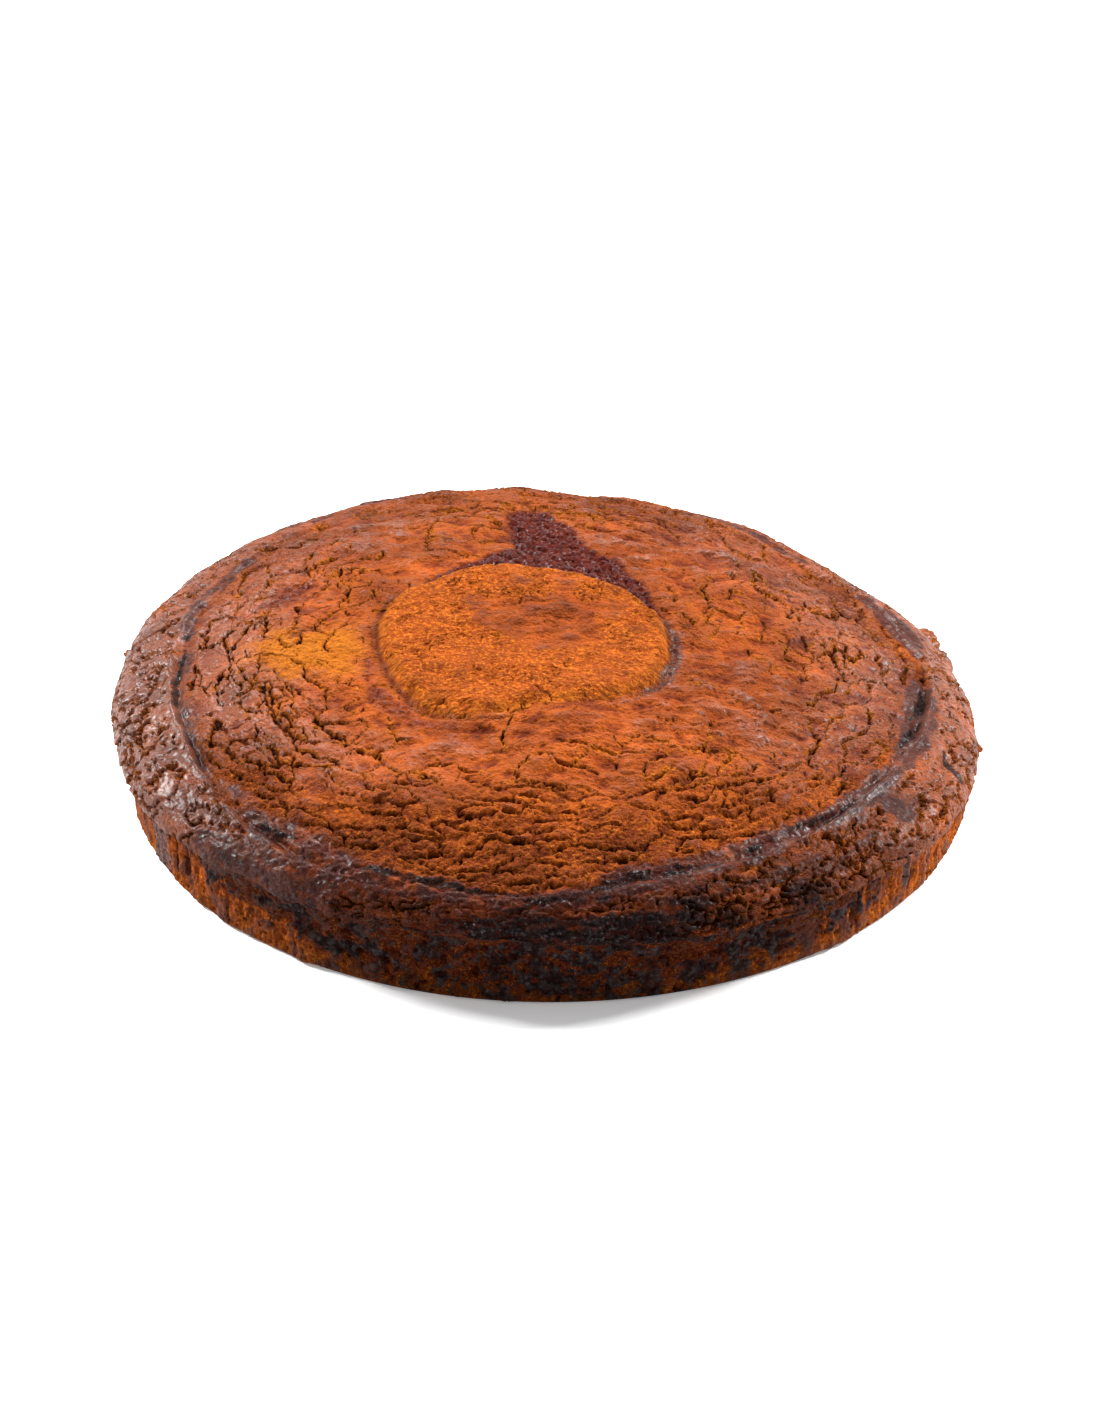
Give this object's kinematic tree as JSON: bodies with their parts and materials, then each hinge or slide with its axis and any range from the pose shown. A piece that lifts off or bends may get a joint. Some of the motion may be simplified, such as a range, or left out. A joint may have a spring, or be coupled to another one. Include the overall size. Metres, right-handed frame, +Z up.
{
  "type": "basque cake",
  "caption": "Whole round Basque cake: a low baked cake with a cracked domed crust, a rounded overhanging lip, a raised disc of dough near the middle and a flat underside.",
  "frame": {"origin": "centre of the underside's footprint, on the surface the cake stands on", "axes": "+Z up, out of the crust; -Y towards the side with the finely cracked slope, as first seen; the raised disc of dough lies a little towards -X"},
  "size_m": [0.2432, 0.2412, 0.0485],
  "materials": {
    "baked_crust": "baked dough, orange-brown and cracked on top, darker towards the rim, glazed in places"
  },
  "bodies": {
    "root": {"cake": "baked_crust"}
  },
  "joints": []
}
